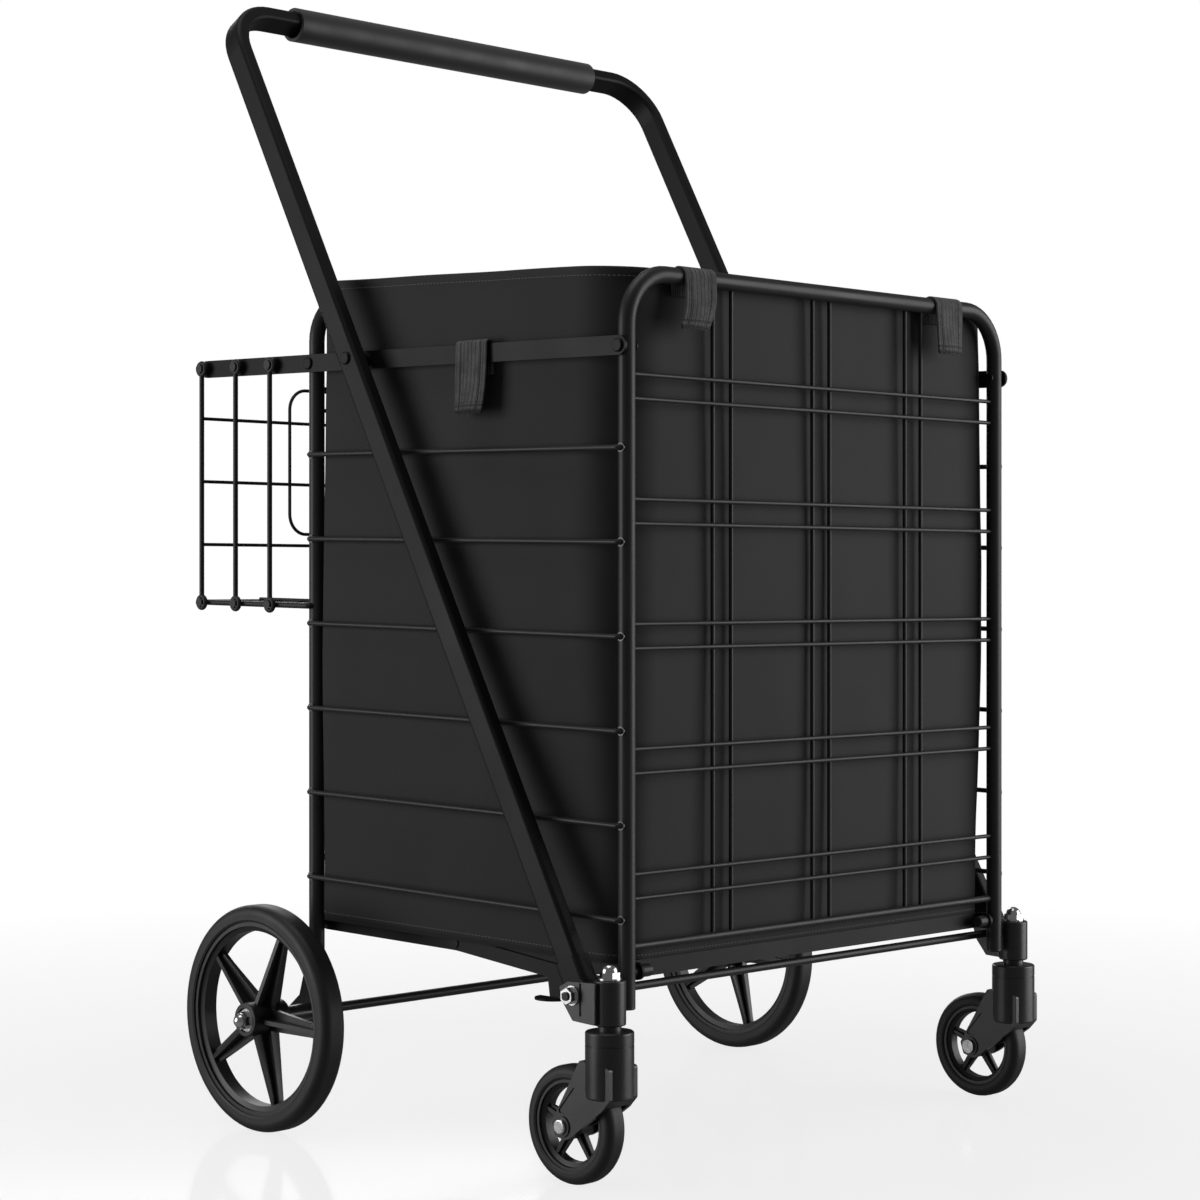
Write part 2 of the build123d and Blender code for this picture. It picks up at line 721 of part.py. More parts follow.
# Latch: a flat bar on the left side of the platform, notched over the tie rod
latch_y, latch_z = platform_point(latch_pivot_back)
latch_x = platform_half + bar_thick / 2 + latch_gap + latch_thick / 2
hook_r = latch_height / 2 + 4
arm = bar_outline((y_foot, tie_z), (latch_y, latch_z), latch_height / 2)
arm += Pos(y_foot, tie_z) * Circle(hook_r)
plate_y0, plate_y1 = y_front + latch_plate_front, y_front + latch_plate_back
arm += make_face(Polyline(
    (plate_y0, latch_tab_z), (plate_y1, latch_tab_z), (plate_y1 + 4, tie_z + 8), (plate_y0, tie_z + 8),
    close=True,
))
notch_r = tie_r + notch_gap
notch_drop = hook_r + 4
notch = Pos(y_foot, tie_z) * Circle(notch_r)
notch += make_face(Polyline(
    (y_foot - notch_r, tie_z),
    (y_foot - notch_r, tie_z - notch_drop),
    (y_foot + notch_r + notch_drop * math.tan(math.radians(notch_flare)), tie_z - notch_drop),
    (y_foot + notch_r, tie_z),
    close=True,
))
latch = plate_x(arm - notch, -latch_x, latch_thick)
tab_middle = (plate_y0 + plate_y1) / 2 + 8
tab = Pos(-latch_x + latch_thick / 2, tab_middle, latch_tab_z - 2) * extrude(
    Circle(18) & Pos(-latch_tab_reach / 2, 0) * Rectangle(latch_tab_reach, 40), amount=2
)
latch_rivet_r = 4.0
latch -= cross(-latch_x - 5, -latch_x + 5, latch_y, latch_z, latch_rivet_r + running_clearance)
hook_end = y_foot + latch_hook_long
hook_box = Pos(-latch_x, hook_end - depth / 2, tie_z) * Box(2 * latch_thick, depth, depth)
nodes["latch_hook"] = latch & hook_box
nodes["latch_bar"] = latch - hook_box + tab
side_outer = platform_half + bar_thick / 2
latch_rivet = cross(-side_outer, -latch_x - latch_thick / 2 - 0.3, latch_y, latch_z, latch_rivet_r)
latch_head_x = -latch_x - latch_thick / 2 - 0.3
latch_rivet += cross(latch_head_x, latch_head_x - 0.9, latch_y, latch_z, 5.5)
nodes["latch_rivet"] = latch_rivet

# Small rear basket: hanging wires with an eye at each end, a bottom frame and a back
def basket_point(offset):
    return y_rear + offset, basket_rod_z + offset * bar_slope


eye_r = drop_pin_r + eye_gap + drop_r


def eye(y, z):
    ring = Solid.make_torus(eye_r, drop_r, Plane(origin=(-eye_plane_x, y, z), z_dir=(1, 0, 0)))
    return ring


def hanger(offset):
    top = (y_rear + offset, bar_z(depth + offset))
    low = basket_point(offset)
    span = Vector(low[0] - top[0], low[1] - top[1])
    step = span.normalized() * eye_r
    start = (-eye_plane_x, top[0] + step.X, top[1] + step.Y)
    stop = (-eye_plane_x, low[0] - step.X, low[1] - step.Y)
    return join([rod(start, stop, drop_r), eye(*top), eye(*low)])


names = ("basket_hangers_front", "basket_hangers_middle")
for name, offset in zip(names, drop_offsets):
    nodes[name] = pair(hanger(offset))

back_hanger = hanger(drop_offsets[-1])
back_y = y_rear + drop_offsets[-1]
back_parts = [back_hanger, mirrored(back_hanger)]
for share in (0.2, 0.47, 0.74):
    z = bar_rear_z + share * (basket_rod_z - bar_rear_z)
    back_parts.append(cross(-eye_plane_x, eye_plane_x, back_y, z, basket_wire_r))
loop_path = Plane(origin=(0, back_y - drop_r, 0), x_dir=(1, 0, 0), z_dir=(0, -1, 0)) * (
    Pos(0, (loop_low + loop_high) / 2) * RectangleRounded(2 * loop_half, loop_high - loop_low, 22)
)
loop_wire = loop_path.faces()[0].outer_wire()
loop_start = loop_wire @ 0
back_parts.append(sweep(Plane(origin=loop_start, z_dir=loop_wire % 0) * Circle(basket_wire_r),
                        path=loop_wire))
nodes["basket_back"] = join(back_parts)

rod_back = drop_offsets[-1]
start_y, start_z = basket_point(0)
end_y, end_z = basket_point(rod_back)
tip = -(half_width + 2)
bottom_rod = bent_rod(
    [
        (tip, start_y, start_z),
        (-link_x, start_y, start_z),
        (-link_x, end_y, end_z),
        (link_x, end_y, end_z),
        (link_x, start_y, start_z),
        (-tip, start_y, start_z),
    ],
    basket_rod_r + 0.2,
    basket_rod_r,
)
bottom_parts = [bottom_rod]
for i in range(basket_cross_wires):
    y, z = basket_point(basket_first_wire + i * basket_wire_pitch)
    reach = link_x if i else half_width - tube_r - 2
    bottom_parts.append(cross(-reach, reach, y, z, basket_wire_r))
for i in range(basket_long_wires):
    x = link_x * (2 * (i + 1) / (basket_long_wires + 1) - 1)
    y0, z0 = basket_point(basket_first_wire)
    up = 2 * basket_wire_r - wire_sink
    bottom_parts.append(rod((x, y0, z0 + up), (x, end_y, end_z + up), basket_wire_r))
for offset in drop_offsets:
    y, z = basket_point(offset)
    for side in (-1, 1):
        bottom_parts.append(cross(side * link_x, side * pin_end, y, z, drop_pin_r))
        bottom_parts.append(cross(side * pin_end, side * (pin_end + 1.2), y, z, drop_pin_r + 1.8))
nodes["basket_bottom"] = join(bottom_parts)
rod_hole = basket_rod_r + running_clearance
for side in (-1, 1):
    hole = cross(side * half_width, side * (half_width + 20), start_y, start_z, rod_hole)
    nodes["rear_frame_tube"] -= hole

# Liner bag, open at the top
highest_wire = platform_point(
    depth * platform_cross_wires / (platform_cross_wires + 1), 2 * platform_wire_r - wire_sink
)
liner_low = highest_wire[1] + platform_wire_r + liner_seat
liner_half = half_width - liner_side_in
liner_y0 = y_front + tube_r + liner_end_gap
liner_y1 = y_rear - tube_r - liner_end_gap


def liner_body(shrink, low):
    half = liner_half - shrink
    y0, y1 = liner_y0 + shrink, liner_y1 - shrink
    top = liner_rear_top + 20
    base = Rectangle(2 * (half - liner_taper), y1 - y0 - 2 * liner_taper)
    mouth = Rectangle(2 * half, y1 - y0)
    middle = (y0 + y1) / 2
    return loft([Pos(0, middle, low) * base.face(), Pos(0, middle, top) * mouth.face()])


liner = liner_body(0, liner_low) - liner_body(liner_wall, liner_low + liner_wall)
above = plate_x(
    make_face(Polyline(
        (liner_y0 - 50, liner_front_top), (liner_y1 + 50, liner_rear_top), (liner_y1 + 50, 1000),
        (liner_y0 - 50, 1000), close=True,
    )),
    0,
    4 * half_width,
)
nodes["liner_bag"] = liner - above


# Straps over the frame, sewn to the liner
def strap(y, z, r, inward, hang, x, wide):
    """A band over a round tube: one end hangs outside, the other reaches the liner inside."""
    inner, outer = r + 0.3, r + 0.3 + strap_thick
    band = Circle(outer) - Circle(inner)
    band &= Pos(0, outer) * Rectangle(4 * outer, 2 * outer)
    middle = (inner + outer) / 2
    band += Pos(-inward * middle, -hang / 2) * Rectangle(strap_thick, hang)
    band += Pos(inward * middle, -hang * 0.3) * Rectangle(strap_thick, hang * 0.6)
    plane = Plane(origin=(x, y, z), x_dir=(0, 1, 0), z_dir=(1, 0, 0))
    return extrude(plane * band, amount=wide / 2, both=True)


strap_front = strap(y_front, front_top, tube_r, 1, strap_hang, -strap_x, strap_wide)
nodes["straps_front"] = pair(strap_front)
strap_rear = strap(y_rear, rear_top, tube_r, -1, strap_hang, -strap_x, strap_wide)
nodes["straps_rear"] = pair(strap_rear)

side_gap = 0.3
strap_y = y_front + side_strap_back
strap_z = bar_z(side_strap_back)
over_top = strap_z + bar_height / 2 + side_gap + 1.2
outer_x = link_x + link_r + side_gap
inner_x = bar_x - bar_thick / 2 - side_gap
side_strap = Pos(-(outer_x + strap_thick / 2), strap_y, over_top - 33) * Box(strap_thick, strap_wide, 66)
side_strap += Pos(-(inner_x - strap_thick / 2), strap_y, over_top - 16) * Box(strap_thick, strap_wide, 32)
side_strap += Pos(-bar_x, strap_y, over_top + strap_thick / 2) * Box(
    outer_x - inner_x + 2 * strap_thick, strap_wide, strap_thick
)
nodes["straps_side"] = pair(side_strap)

for name, shape in nodes.items():
    export_step(shape, f"parts/{name}.step")
print(f"{len(nodes)} nodes, front legs at y = {y_front:.1f}, lean {math.degrees(lean):.2f}")
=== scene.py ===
import math
import random

import bmesh
import bpy
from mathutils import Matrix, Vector, noise


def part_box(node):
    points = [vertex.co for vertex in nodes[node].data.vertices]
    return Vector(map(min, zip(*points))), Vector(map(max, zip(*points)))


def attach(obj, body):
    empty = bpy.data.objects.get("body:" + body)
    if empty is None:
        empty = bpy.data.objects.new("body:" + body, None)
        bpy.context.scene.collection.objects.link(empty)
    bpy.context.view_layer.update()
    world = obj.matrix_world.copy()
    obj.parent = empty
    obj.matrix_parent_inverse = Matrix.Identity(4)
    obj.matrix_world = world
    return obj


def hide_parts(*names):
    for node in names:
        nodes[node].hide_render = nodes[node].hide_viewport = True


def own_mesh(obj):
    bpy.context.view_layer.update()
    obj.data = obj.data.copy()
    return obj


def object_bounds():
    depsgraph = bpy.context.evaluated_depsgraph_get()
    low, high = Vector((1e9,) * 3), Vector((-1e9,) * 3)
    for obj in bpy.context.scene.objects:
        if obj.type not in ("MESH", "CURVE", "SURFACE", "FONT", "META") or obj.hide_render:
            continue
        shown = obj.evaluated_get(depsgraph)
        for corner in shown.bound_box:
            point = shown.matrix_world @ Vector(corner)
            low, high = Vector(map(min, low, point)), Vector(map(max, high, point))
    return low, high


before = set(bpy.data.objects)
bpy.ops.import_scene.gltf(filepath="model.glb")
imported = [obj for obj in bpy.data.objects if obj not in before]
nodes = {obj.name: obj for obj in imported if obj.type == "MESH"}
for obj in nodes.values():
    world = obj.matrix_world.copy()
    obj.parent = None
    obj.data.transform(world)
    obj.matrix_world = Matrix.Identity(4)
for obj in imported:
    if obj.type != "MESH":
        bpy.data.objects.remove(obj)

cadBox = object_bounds()
mm = 0.001
print("frame loaded:", len(nodes), "nodes")


# shader helpers
class shaderValue:
    def __init__(self, graph, socket):
        self.graph = graph
        self.socket = socket

    def math(self, operation, *others):
        sockets = {0: self, **dict(enumerate(others, 1))}
        return self.graph.add("ShaderNodeMath", {"operation": operation}, sockets)

    def __add__(self, other):
        return self.math("ADD", other)

    __radd__ = __add__

    def __sub__(self, other):
        return self.math("SUBTRACT", other)

    def __rsub__(self, other):
        return self.graph.add("ShaderNodeMath", {"operation": "SUBTRACT"}, {0: other, 1: self})

    def __mul__(self, other):
        return self.math("MULTIPLY", other)

    __rmul__ = __mul__


class shaderGraph:
    def __init__(self, name):
        self.material = bpy.data.materials.new(name)
        self.material.use_nodes = True
        self.tree = self.material.node_tree
        self.tree.nodes.clear()

    def add(self, kind, settings=None, sockets=None, output=0):
        node = self.tree.nodes.new(kind)
        for key, value in (settings or {}).items():
            if key == "stops":
                for element, (place, level) in zip(node.color_ramp.elements, value):
                    element.position = place
                    element.color = (level, level, level, 1)
            else:
                setattr(node, key, value)
        for key, value in (sockets or {}).items():
            if isinstance(value, shaderValue):
                self.tree.links.new(value.socket, node.inputs[key])
            else:
                node.inputs[key].default_value = value
        return shaderValue(self, node.outputs[output] if len(node.outputs) else None)

    def objectPlace(self):
        return self.add("ShaderNodeTexCoord", output="Object")

    def noise(self, place, scale, detail=2.0, rough=0.5):
        return self.add("ShaderNodeTexNoise", {"noise_dimensions": "3D"},
                        {"Vector": place, "Scale": scale, "Detail": detail, "Roughness": rough})

    def cells(self, place, scale):
        return self.add("ShaderNodeTexVoronoi", {"feature": "F1"}, {"Vector": place, "Scale": scale})

    def ramp(self, value, low, high, start=0.0, end=1.0):
        return self.add("ShaderNodeMapRange", {"clamp": True},
                        {"Value": value, "From Min": low, "From Max": high, "To Min": start, "To Max": end})

    def blend(self, factor, first, second):
        return self.add("ShaderNodeMix", {"data_type": "RGBA"},
                        {0: factor, 6: first + (1,), 7: second + (1,)}, 2)  # the colour sockets

    def bump(self, height, strength, distance, below=None):
        sockets = {"Height": height, "Strength": strength, "Distance": distance}
        if below is not None:
            sockets["Normal"] = below
        return self.add("ShaderNodeBump", None, sockets)

    def surface(self, sockets):
        shader = self.add("ShaderNodeBsdfPrincipled", None, sockets)
        self.add("ShaderNodeOutputMaterial", None, {"Surface": shader})
        return self.material


def grey(level, tint=1.0):
    return (level, level, level * tint)


enamel = {  # sprayed black on the tubes and wires
    "dark": 0.018, "light": 0.025, "tint": 1.03,
    "roughness": 0.40, "roughnessSpread": 0.12, "specular": 0.26,
    "cloud": 14, "peel": 420, "peelDepth": 0.12 * mm, "peelStrength": 0.22,
    "coat": 0.05,
}
flatPaint = {  # powder coat on the handle tube and flat bars
    "dark": 0.006, "light": 0.009, "tint": 1.02,
    "roughness": 0.44, "roughnessSpread": 0.10, "specular": 0.16,
    "cloud": 11, "peel": 900, "peelDepth": 0.10 * mm, "peelStrength": 0.25,
    "coat": 0.0,
}


def paint(name, look):
    g = shaderGraph(name)
    place = g.objectPlace()
    cloud = g.noise(place, look["cloud"], 3)
    peel = g.noise(place, look["peel"], 2)
    dust = g.ramp(g.noise(place, 260, 4, 0.7), 0.60, 0.78)
    tint = look["tint"]
    colour = g.blend(g.ramp(cloud, 0.3, 0.7), grey(look["dark"], tint), grey(look["light"], tint))
    rough = look["roughness"] + look["roughnessSpread"] * g.ramp(cloud, 0.25, 0.75) + 0.10 * dust
    return g.surface({
        "Base Color": colour,
        "Roughness": rough,
        "Specular IOR Level": look["specular"],
        "Coat Weight": look["coat"],
        "Coat Roughness": 0.18,
        "Normal": g.bump(peel, look["peelStrength"], look["peelDepth"]),
    })


chrome = {"colour": (0.72, 0.72, 0.73), "roughness": 0.13, "spread": 0.14, "scratch": 700}


def plated(name, look):
    g = shaderGraph(name)
    place = g.objectPlace()
    smear = g.noise(place, 90, 3)
    scratch = g.noise(place, look["scratch"], 3, 0.7)
    tone = g.blend(g.ramp(smear, 0.3, 0.75), look["colour"], tuple(0.8 * c for c in look["colour"]))
    return g.surface({
        "Base Color": tone,
        "Metallic": 1.0,
        "Roughness": look["roughness"] + look["spread"] * g.ramp(smear, 0.3, 0.7),
        "Normal": g.bump(scratch, 0.12, 0.05 * mm),
    })


fittingPlastic = {"level": 0.0170, "roughness": 0.26, "grain": 1500, "depth": 0.10 * mm, "strength": 0.30}
wheelPlastic = {"level": 0.0085, "roughness": 0.37, "grain": 800, "depth": 0.06 * mm, "strength": 0.16}


def moulded(name, look):
    g = shaderGraph(name)
    place = g.objectPlace()
    grain = g.cells(place, look["grain"])
    flow = g.noise(place, 22, 3)
    level = look["level"]
    return g.surface({
        "Base Color": g.blend(g.ramp(flow, 0.3, 0.7), grey(0.85 * level), grey(1.25 * level)),
        "Roughness": look["roughness"] + 0.13 * g.ramp(flow, 0.25, 0.75),
        "Normal": g.bump(grain, look["strength"], look["depth"]),
    })


tyre = {"level": 0.0115, "roughness": 0.50, "grain": 1100}


def rubber(name, look):
    g = shaderGraph(name)
    place = g.objectPlace()
    grain = g.noise(place, look["grain"], 3, 0.65)
    bloom = g.ramp(g.noise(place, 17, 4, 0.6), 0.35, 0.72)
    level = look["level"]
    return g.surface({
        "Base Color": g.blend(bloom, grey(0.8 * level), grey(1.35 * level)),
        "Roughness": look["roughness"] + 0.12 * bloom,
        "Specular IOR Level": 0.42,
        "Normal": g.bump(grain, 0.30, 0.14 * mm),
    })


foam = {"level": 0.0105, "roughness": 0.58, "cell": 1300}


def softFoam(name, look):
    g = shaderGraph(name)
    place = g.objectPlace()
    cell = g.cells(place, look["cell"])
    worn = g.ramp(g.noise(place, 26, 3), 0.35, 0.7)
    level = look["level"]
    return g.surface({
        "Base Color": g.blend(worn, grey(level), grey(1.5 * level)),
        "Roughness": look["roughness"] - 0.08 * worn,
        "Sheen Weight": 0.12,
        "Sheen Roughness": 0.5,
        "Normal": g.bump(cell, 0.35, 0.16 * mm),
    })


liner = {  # black woven polyester
    "level": 0.0150, "roughness": 0.70, "yarn": 1.25 * mm, "depth": 0.16 * mm,
    "slub": 300, "cloud": 7,  # scales of the uneven yarn and of the faded places
    "columnsAcross": 64, "columnsDeep": 52, "columnsCorner": 9, "rows": 84,
    "mouthOut": 3.2 * mm, "middleOut": 8.0 * mm, "hemOut": -7.4 * mm,  # from the side of the box
    "latchRoom": 4.2 * mm, "rearSpread": 11 * mm, "rearMore": 2 * mm, "rearOut": 1.2 * mm,
    "cornerTop": 30 * mm, "cornerMiddle": 26 * mm, "cornerHem": 16 * mm,
    "corners": (0.6, 0.35, 0.35, 1.8),  # front right, rear right, rear left, front left
    "frontUp": 7 * mm, "hemOver": 4.0 * mm, "floorUp": 0.7 * mm, "floorRise": 52 * mm,
    "wall": 1.1 * mm, "bulge": 3.6 * mm, "folds": 1.7 * mm, "rimWave": 1.2 * mm,
    "hemHigh": 11 * mm, "hemProud": 0.5 * mm, "lowSeam": 8 * mm,
    "keep": 0.24,  # share of its depth that is left when the cart is folded
}


def cloth(name, look):
    g = shaderGraph(name)
    uv = g.add("ShaderNodeUVMap", {"uv_map": "UVMap"})
    u = g.add("ShaderNodeSeparateXYZ", None, {"Vector": uv}, "X")
    v = g.add("ShaderNodeSeparateXYZ", None, {"Vector": uv}, "Y")
    turns = math.pi / look["yarn"]
    warp = (u * turns).math("SINE")
    weft = (v * turns).math("SINE")
    weave = 0.5 + 0.5 * warp * weft
    place = g.objectPlace()
    slub = g.noise(place, look["slub"], 3, 0.7)
    cloud = g.ramp(g.noise(place, look["cloud"], 4), 0.3, 0.7)
    level = look["level"]
    pale = 0.55 * cloud + 0.25 * weave + 0.2 * slub
    colour = g.blend(pale, grey(0.80 * level), grey(1.25 * level, 1.02))
    return g.surface({
        "Base Color": colour,
        "Roughness": look["roughness"] + 0.10 * weave,
        "Sheen Weight": 0.06,
        "Sheen Roughness": 0.45,
        "Specular IOR Level": 0.34,
        "Normal": g.bump(slub, 0.25, 0.2 * mm, g.bump(weave, 0.5, look["depth"])),
    })


strap = {  # grey ribbed webbing with sewn edges
    "level": 0.050, "roughness": 0.66, "twill": 1.7 * mm, "rib": 5.2 * mm, "fuzz": 420, "worn": 62,
    "thick": 1.5 * mm, "half": 21 * mm, "seam": 13.5 * mm, "hemUp": 6 * mm, "across": 18,
    "free": 32 * mm, "cup": 1.6 * mm, "twist": 3.2 * mm, "ripple": 0.5 * mm, "off": 0.3 * mm,
    "frameInside": 17 * mm, "barInside": 30 * mm,  # how far the inner end hangs below the tube or bar
    "straightSteps": 14, "bendSteps": 16, "straightRows": 12, "seamRows": 33, "tapeRows": 8,
    "clear": 1.1 * mm,  # from a tube to the middle of the webbing
    "lean": {"strapFront": 4.5 * mm, "strapRear": 3.5 * mm, "strapSide": 5 * mm},  # free end, outwards
    "sway": {"strapFrontLeft": -11 * mm, "strapFrontRight": -2 * mm, "strapRearLeft": 2 * mm,
             "strapRearRight": 2 * mm, "strapSideLeft": 1.5 * mm, "strapSideRight": 1.5 * mm},
    "barInner": 4.2 * mm, "barOuter": 0.9 * mm, "barRound": 3 * mm,  # how the side strap wraps its bar
    "tapeThick": 0.9 * mm, "tapeGap": 0.6 * mm, "tapeDrop": 1.6 * mm, "tapeRagged": 0.5 * mm,
}


def webbing(name, look):
    g = shaderGraph(name)
    uv = g.add("ShaderNodeUVMap", {"uv_map": "UVMap"})
    u = g.add("ShaderNodeSeparateXYZ", None, {"Vector": uv}, "X")
    v = g.add("ShaderNodeSeparateXYZ", None, {"Vector": uv}, "Y")
    fine = 2 * math.pi / look["twill"]
    twill = ((u * fine) + (v * (2.2 * fine))).math("SINE")
    rib = (u * (2 * math.pi / look["rib"])).math("SINE")
    ridge = g.ramp(rib, -0.95, -0.35)
    height = (0.6 + 0.4 * twill) * ridge
    fuzz = g.ramp(g.noise(g.objectPlace(), look["fuzz"], 4, 0.75), 0.28, 0.72)
    worn = g.ramp(g.noise(g.objectPlace(), look["worn"], 4, 0.65), 0.40, 0.62)
    level = look["level"]
    edge = ((u - look["half"]).math("ABSOLUTE") - look["seam"]).math("ABSOLUTE")
    hem = (v - look["hemUp"]).math("ABSOLUTE")
    tip = g.ramp(v, 1.0 * mm, 2.6 * mm)
    sewn = g.ramp(edge, 0.5 * mm, 1.5 * mm) * g.ramp(hem, 0.4 * mm, 1.4 * mm) * tip
    # painted shade: the colour follows the rib height, so the grooves between the ribs are painted darker
    # than the ridges; the colour is also darker along the two seam lines, across the hem line and over the
    # last few millimetres of the tip
    pale = (0.30 + 0.30 * fuzz + 0.40 * worn) * (0.15 + 0.85 * height) * (0.2 + 0.8 * sewn)
    colour = g.blend(g.ramp(pale, 0.05, 0.75), grey(0.08 * level), grey(2.8 * level))
    return g.surface({
        "Base Color": colour,
        "Roughness": look["roughness"] + 0.15 * fuzz,
        "Sheen Weight": 0.12,
        "Sheen Roughness": 0.4,
        "Normal": g.bump(fuzz, 0.4, 0.3 * mm, g.bump(height, 0.8, 0.5 * mm)),
    })


def thread(name, level):
    g = shaderGraph(name)
    twist = g.noise(g.objectPlace(), 1400, 2)
    return g.surface({
        "Base Color": g.blend(twist, grey(0.6 * level), grey(1.3 * level)),
        "Roughness": 0.55 + 0.2 * twist,
        "Sheen Weight": 0.1,
        "Normal": g.bump(twist, 0.5, 0.1 * mm),
    })


materials = {
    "blackEnamel": paint("blackEnamel", enamel),
    "satinPaint": paint("satinPaint", flatPaint),
    "brightPlate": plated("brightPlate", chrome),
    "fittingPlastic": moulded("fittingPlastic", fittingPlastic),
    "wheelPlastic": moulded("wheelPlastic", wheelPlastic),
    "tyreRubber": rubber("tyreRubber", tyre),
    "gripFoam": softFoam("gripFoam", foam),
    "linerCloth": cloth("linerCloth", liner),
    "strapWebbing": webbing("strapWebbing", strap),
    "linerThread": thread("linerThread", 0.11),
    "strapThread": thread("strapThread", 0.012),
}

finishes = [  # the first start that fits a node's name gives its material
    ("satinPaint", ("top_bar_", "handle_tube", "handle_feet", "handle_rivet", "latch_",
                    "platform_frame", "axle_plate")),
    ("brightPlate", ("tie_rod_nuts", "axle_nuts", "caster_axle", "caster_stem")),
    ("fittingPlastic", ("caster_bracket", "caster_fork", "front_leg_caps", "rear_leg_caps",
                        "front_hole_rims", "rear_hole_rims", "axle_spacers")),
    ("wheelPlastic", ("caster_rim", "rear_wheel_rim")),
    ("tyreRubber", ("caster_tyre", "rear_tyre")),
    ("gripFoam", ("handle_grip",)),
    ("linerCloth", ("liner_bag",)),
    ("strapWebbing", ("straps_",)),
    ("blackEnamel", ("",)),
]
for nodeName, piece in nodes.items():
    chosen = next(m for m, starts in finishes if nodeName.startswith(starts))
    piece.data.materials.clear()
    piece.data.materials.append(materials[chosen])
print("finishes given to the frame")


# places read from the frame
def centre(name):
    low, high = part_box(name)
    return (low + high) / 2


frontLow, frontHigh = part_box("front_frame_tube")
rearLow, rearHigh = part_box("rear_frame_tube")
tubeR = (frontHigh.y - frontLow.y) / 2
frontY = (frontHigh.y + frontLow.y) / 2
rearY = (rearHigh.y + rearLow.y) / 2
frontTop = frontHigh.z - tubeR
rearTop = rearHigh.z - tubeR
bagLow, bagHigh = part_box("liner_bag")
deckLow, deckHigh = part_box("platform_frame")
deckBar = 16 * mm


def deselect():
    for thing in bpy.context.selected_objects:
        thing.select_set(False)


def smooth(piece, angle=0.7):
    deselect()
    piece.select_set(True)
    bpy.context.view_layer.objects.active = piece
    bpy.ops.object.shade_smooth_by_angle(angle=angle)


def useModifier(piece, kind, **settings):
    modifier = piece.modifiers.new(kind.lower(), kind)
    for key, value in settings.items():
        setattr(modifier, key, value)
    deselect()
    piece.select_set(True)
    bpy.context.view_layer.objects.active = piece
    bpy.ops.object.modifier_apply(modifier=modifier.name)


def pieceFrom(mesh, name, material):
    bmesh.ops.recalc_face_normals(mesh, faces=mesh.faces[:])
    data = bpy.data.meshes.new(name)
    mesh.to_mesh(data)
    mesh.free()
    piece = bpy.data.objects.new(name, data)
    bpy.context.scene.collection.objects.link(piece)
    data.materials.append(material)
    return piece


def gridPiece(name, rows, uvs, material, closed=False):
    mesh = bmesh.new()
    uvLayer = mesh.loops.layers.uv.new("UVMap")
    made = [[mesh.verts.new(p) for p in row] for row in rows]
    across = len(rows[0])
    for i in range(len(rows) - 1):
        for j in range(across if closed else across - 1):
            k = (j + 1) % across
            face = mesh.faces.new((made[i][j], made[i][k], made[i + 1][k], made[i + 1][j]))
            face.smooth = True
            for loop, (a, b) in zip(face.loops, ((i, j), (i, j + 1), (i + 1, j + 1), (i + 1, j))):
                loop[uvLayer].uv = uvs(a, b)
    return pieceFrom(mesh, name, material)


stitch = {"long": 3.4 * mm, "pitch": 4.6 * mm, "radius": 0.42 * mm, "sink": 0.1 * mm}


def stitches(name, lines, material, size=1.0):
    # each line is a list of (point, outward) pairs, close together
    mesh = bmesh.new()
    for line in lines:
        travelled, due = 0.0, 0.0
        for (p, out), (q, _) in zip(line, line[1:]):
            step = (q - p).length
            while due <= travelled + step and step > 0:
                along = (q - p).normalized()
                middle = p + along * (due - travelled) + out * stitch["sink"]
                side = along.cross(out).normalized()
                half, r = stitch["long"] / 2 * size, stitch["radius"] * size
                rings = []
                for t, swell in ((-1.0, 0.35), (-0.6, 1.0), (0.6, 1.0), (1.0, 0.35)):
                    spot = middle + along * (t * half)
                    rings.append([
                        mesh.verts.new(spot + side * (a * r * swell) + out * (b * r * swell))
                        for a, b in ((-1, -0.5), (-0.6, 0.8), (0.6, 0.8), (1, -0.5))
                    ])
                for first, second in zip(rings, rings[1:]):
                    for j in range(4):
                        k = (j + 1) % 4
                        mesh.faces.new((first[j], first[k], second[k], second[j])).smooth = True
                mesh.faces.new(rings[0][::-1])
                mesh.faces.new(rings[-1])
                due += stitch["pitch"] * size
            travelled += step
    return pieceFrom(mesh, name, material)


# liner bag: one rounded ring of columns, lofted from the floor to the mouth
def ease(t):
    t = min(max(t, 0.0), 1.0)
    return t * t * (3 - 2 * t)


def mix(a, b, t):
    return a + (b - a) * t


def bagColumn(index):
    # which stretch of the outline a column lies on, and how far along it
    across, deep, corner = liner["columnsAcross"], liner["columnsDeep"], liner["columnsCorner"]
    for side, count in enumerate((across, corner, deep, corner, across, corner, deep, corner)):
        if index < count:
            return side, index / count
        index -= count
    return 0, 0.0


bagColumns = 2 * (liner["columnsAcross"] + liner["columnsDeep"]) + 4 * liner["columnsCorner"]


def bagOutline(index, halfX, yFront, yBack, radius):
    side, t = bagColumn(index % bagColumns)
    quarter = math.pi / 2
    frontRight, rearRight, rearLeft, frontLeft = (radius * share for share in liner["corners"])
    if side == 0:
        return mix(-halfX + frontLeft, halfX - frontRight, t), yFront, (0, -1)
    if side == 2:
        return halfX, mix(yFront + frontRight, yBack - rearRight, t), (1, 0)
    if side == 4:
        return mix(halfX - rearRight, -halfX + rearLeft, t), yBack, (0, 1)
    if side == 6:
        return -halfX, mix(yBack - rearLeft, yFront + frontLeft, t), (-1, 0)
    turn = (side - 1) // 2
    r = (frontRight, rearRight, rearLeft, frontLeft)[turn]
    cx = halfX - r if turn < 2 else -halfX + r
    cy = yFront + r if turn in (0, 3) else yBack - r
    angle = -quarter + quarter * turn + quarter * t
    return cx + r * math.cos(angle), cy + r * math.sin(angle), (math.cos(angle), math.sin(angle))


def bagTop(y):
    share = (y - bagLow.y) / (bagHigh.y - bagLow.y)
    return mix(frontTop + liner["frontUp"], bagHigh.z, share)


